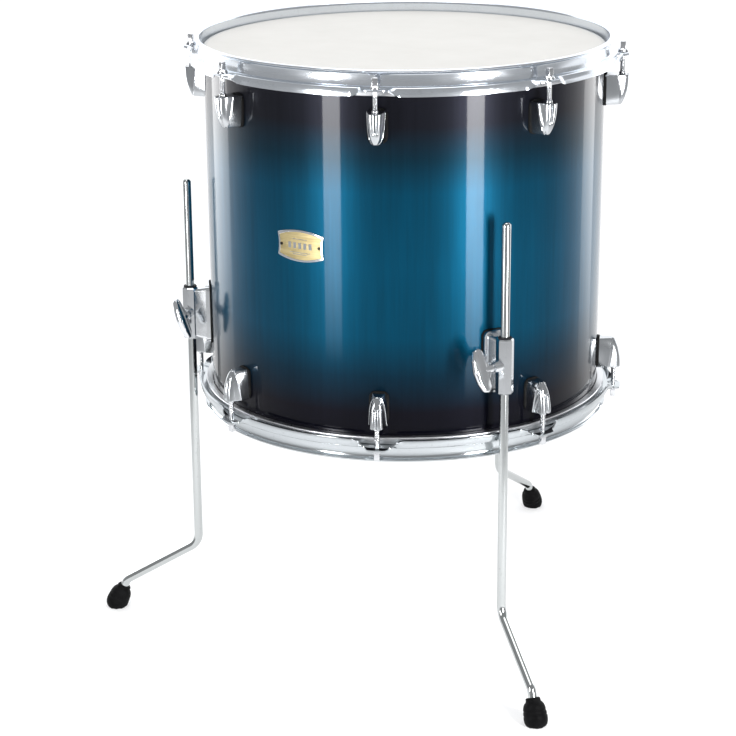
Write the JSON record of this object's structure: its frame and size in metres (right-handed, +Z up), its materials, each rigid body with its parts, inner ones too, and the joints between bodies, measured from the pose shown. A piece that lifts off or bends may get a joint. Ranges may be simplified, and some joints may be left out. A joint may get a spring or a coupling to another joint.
{
  "type": "floor tom drum",
  "caption": "Floor tom: a deep cylindrical drum with coated head, chrome hoops, lugs and tension rods, standing on bent legs that slide and swivel in clamp brackets.",
  "frame": {"origin": "where the drum's axis meets the floor that its three feet stand on", "axes": "+Z up along the drum's axis, -Y towards the badge at the front, +X to the player's right"},
  "size_m": [0.6091, 0.611, 0.7013],
  "materials": {
    "shell_lacquer": "gloss transparent blue lacquer that fades to near black at both ends",
    "coated_film": "white sprayed coating with a fine grain",
    "clear_film": "translucent hazy film",
    "ring_metal": "satin",
    "chrome_hoop": "bright chrome plate on pressed steel",
    "chrome_cast": "bright chrome plate on zinc castings",
    "chrome_rod": "bright chrome plate on drawn steel",
    "zinc_steel": "zinc plated",
    "black_gasket": "matt black",
    "black_nylon": "satin black nylon",
    "foot_rubber": "matt black rubber",
    "badge_plate": "cream enamel in a bright metal border",
    "badge_pin_metal": "dark metal"
  },
  "bodies": {
    "root": {"shell": "shell_lacquer", "batter_film": "coated_film", "batter_flesh_hoop": "ring_metal", "resonant_film": "clear_film", "resonant_flesh_hoop": "ring_metal", "top_hoop": "chrome_hoop", "bottom_hoop": "chrome_hoop", "top_lugs": "chrome_cast", "bottom_lugs": "chrome_cast", "top_swivel_nuts": "chrome_rod", "bottom_swivel_nuts": "chrome_rod", "lug_gaskets": "black_gasket", "lug_screws": "zinc_steel", "top_rod_washers": "chrome_rod", "bottom_rod_washers": "chrome_rod", "bracket_left": "chrome_cast", "bracket_right": "chrome_cast", "bracket_rear": "chrome_cast", "bracket_gaskets": "black_gasket", "bracket_backing_plates": "zinc_steel", "bracket_screws": "zinc_steel", "badge": "badge_plate", "badge_pins": "badge_pin_metal", "vent_grommet": "chrome_rod"},
    "bush_left": {"leg_bush_left": "black_nylon"},
    "leg_left": {"leg_rod_left": "chrome_rod", "foot_left": "foot_rubber"},
    "shoe_left": {"clamp_shoe_left": "zinc_steel"},
    "wing_left": {"wing_bolt_left": "chrome_cast"},
    "bush_right": {"leg_bush_right": "black_nylon"},
    "leg_right": {"leg_rod_right": "chrome_rod", "foot_right": "foot_rubber"},
    "shoe_right": {"clamp_shoe_right": "zinc_steel"},
    "wing_right": {"wing_bolt_right": "chrome_cast"},
    "bush_rear": {"leg_bush_rear": "black_nylon"},
    "leg_rear": {"leg_rod_rear": "chrome_rod", "foot_rear": "foot_rubber"},
    "shoe_rear": {"clamp_shoe_rear": "zinc_steel"},
    "wing_rear": {"wing_bolt_rear": "chrome_cast"},
    "top_rod_1": {"top_tension_rod_1": "chrome_rod"},
    "bottom_rod_1": {"bottom_tension_rod_1": "chrome_rod"},
    "top_rod_2": {"top_tension_rod_2": "chrome_rod"},
    "bottom_rod_2": {"bottom_tension_rod_2": "chrome_rod"},
    "top_rod_3": {"top_tension_rod_3": "chrome_rod"},
    "bottom_rod_3": {"bottom_tension_rod_3": "chrome_rod"},
    "top_rod_4": {"top_tension_rod_4": "chrome_rod"},
    "bottom_rod_4": {"bottom_tension_rod_4": "chrome_rod"},
    "top_rod_5": {"top_tension_rod_5": "chrome_rod"},
    "bottom_rod_5": {"bottom_tension_rod_5": "chrome_rod"},
    "top_rod_6": {"top_tension_rod_6": "chrome_rod"},
    "bottom_rod_6": {"bottom_tension_rod_6": "chrome_rod"},
    "top_rod_7": {"top_tension_rod_7": "chrome_rod"},
    "bottom_rod_7": {"bottom_tension_rod_7": "chrome_rod"},
    "top_rod_8": {"top_tension_rod_8": "chrome_rod"},
    "bottom_rod_8": {"bottom_tension_rod_8": "chrome_rod"}
  },
  "joints": [
    {"name": "leg_left_swivel", "type": "hinge", "parent": "root", "child": "bush_left", "pos_m": [-0.20511, -0.14415, 0.379], "axis": [0, 0, 1], "continuous": true},
    {"name": "leg_left_slide", "type": "slide", "parent": "bush_left", "child": "leg_left", "axis": [0, 0, 1], "range_m": [-0.12, 0.16]},
    {"name": "shoe_left_slide", "type": "slide", "parent": "root", "child": "shoe_left", "axis": [0.3107, -0.9505, 0], "range_m": [0, 0.00156]},
    {"name": "wing_left_turn", "type": "hinge", "parent": "shoe_left", "child": "wing_left", "pos_m": [-0.20511, -0.14415, 0.381], "axis": [0.3107, -0.9505, 0], "range_deg": [0, 450]},
    {"name": "leg_right_swivel", "type": "hinge", "parent": "root", "child": "bush_right", "pos_m": [0.20511, -0.14415, 0.379], "axis": [0, 0, 1], "continuous": true},
    {"name": "leg_right_slide", "type": "slide", "parent": "bush_right", "child": "leg_right", "axis": [0, 0, 1], "range_m": [-0.12, 0.16]},
    {"name": "shoe_right_slide", "type": "slide", "parent": "root", "child": "shoe_right", "axis": [-0.3107, -0.9505, 0], "range_m": [0, 0.00156]},
    {"name": "wing_right_turn", "type": "hinge", "parent": "shoe_right", "child": "wing_right", "pos_m": [0.20511, -0.14415, 0.381], "axis": [-0.3107, -0.9505, 0], "range_deg": [0, 450]},
    {"name": "leg_rear_swivel", "type": "hinge", "parent": "root", "child": "bush_rear", "pos_m": [0, 0.2507, 0.379], "axis": [0, 0, 1], "continuous": true},
    {"name": "leg_rear_slide", "type": "slide", "parent": "bush_rear", "child": "leg_rear", "axis": [0, 0, 1], "range_m": [-0.12, 0.16]},
    {"name": "shoe_rear_slide", "type": "slide", "parent": "root", "child": "shoe_rear", "axis": [-0.9563, 0.2924, 0], "range_m": [0, 0.00156]},
    {"name": "wing_rear_turn", "type": "hinge", "parent": "shoe_rear", "child": "wing_rear", "pos_m": [0, 0.2507, 0.381], "axis": [-0.9563, 0.2924, 0], "range_deg": [0, 450]},
    {"name": "top_rod_1_turn", "type": "hinge", "parent": "root", "child": "top_rod_1", "pos_m": [0.22774, 0.09433, 0.66], "axis": [0, 0, 1], "range_deg": [-180, 180]},
    {"name": "bottom_rod_1_turn", "type": "hinge", "parent": "root", "child": "bottom_rod_1", "pos_m": [0.22774, 0.09433, 0.313], "axis": [0, 0, -1], "range_deg": [-180, 180]},
    {"name": "top_rod_2_turn", "type": "hinge", "parent": "root", "child": "top_rod_2", "pos_m": [0.09433, 0.22774, 0.66], "axis": [0, 0, 1], "range_deg": [-180, 180]},
    {"name": "bottom_rod_2_turn", "type": "hinge", "parent": "root", "child": "bottom_rod_2", "pos_m": [0.09433, 0.22774, 0.313], "axis": [0, 0, -1], "range_deg": [-180, 180]},
    {"name": "top_rod_3_turn", "type": "hinge", "parent": "root", "child": "top_rod_3", "pos_m": [-0.09433, 0.22774, 0.66], "axis": [0, 0, 1], "range_deg": [-180, 180]},
    {"name": "bottom_rod_3_turn", "type": "hinge", "parent": "root", "child": "bottom_rod_3", "pos_m": [-0.09433, 0.22774, 0.313], "axis": [0, 0, -1], "range_deg": [-180, 180]},
    {"name": "top_rod_4_turn", "type": "hinge", "parent": "root", "child": "top_rod_4", "pos_m": [-0.22774, 0.09433, 0.66], "axis": [0, 0, 1], "range_deg": [-180, 180]},
    {"name": "bottom_rod_4_turn", "type": "hinge", "parent": "root", "child": "bottom_rod_4", "pos_m": [-0.22774, 0.09433, 0.313], "axis": [0, 0, -1], "range_deg": [-180, 180]},
    {"name": "top_rod_5_turn", "type": "hinge", "parent": "root", "child": "top_rod_5", "pos_m": [-0.22774, -0.09433, 0.66], "axis": [0, 0, 1], "range_deg": [-180, 180]},
    {"name": "bottom_rod_5_turn", "type": "hinge", "parent": "root", "child": "bottom_rod_5", "pos_m": [-0.22774, -0.09433, 0.313], "axis": [0, 0, -1], "range_deg": [-180, 180]},
    {"name": "top_rod_6_turn", "type": "hinge", "parent": "root", "child": "top_rod_6", "pos_m": [-0.09433, -0.22774, 0.66], "axis": [0, 0, 1], "range_deg": [-180, 180]},
    {"name": "bottom_rod_6_turn", "type": "hinge", "parent": "root", "child": "bottom_rod_6", "pos_m": [-0.09433, -0.22774, 0.313], "axis": [0, 0, -1], "range_deg": [-180, 180]},
    {"name": "top_rod_7_turn", "type": "hinge", "parent": "root", "child": "top_rod_7", "pos_m": [0.09433, -0.22774, 0.66], "axis": [0, 0, 1], "range_deg": [-180, 180]},
    {"name": "bottom_rod_7_turn", "type": "hinge", "parent": "root", "child": "bottom_rod_7", "pos_m": [0.09433, -0.22774, 0.313], "axis": [0, 0, -1], "range_deg": [-180, 180]},
    {"name": "top_rod_8_turn", "type": "hinge", "parent": "root", "child": "top_rod_8", "pos_m": [0.22774, -0.09433, 0.66], "axis": [0, 0, 1], "range_deg": [-180, 180]},
    {"name": "bottom_rod_8_turn", "type": "hinge", "parent": "root", "child": "bottom_rod_8", "pos_m": [0.22774, -0.09433, 0.313], "axis": [0, 0, -1], "range_deg": [-180, 180]}
  ],
  "couplings": [
    {"joint": "shoe_left_slide", "follows": "wing_left_turn", "m_per_rad": 0.00019894},
    {"joint": "shoe_right_slide", "follows": "wing_right_turn", "m_per_rad": 0.00019894},
    {"joint": "shoe_rear_slide", "follows": "wing_rear_turn", "m_per_rad": 0.00019894}
  ]
}
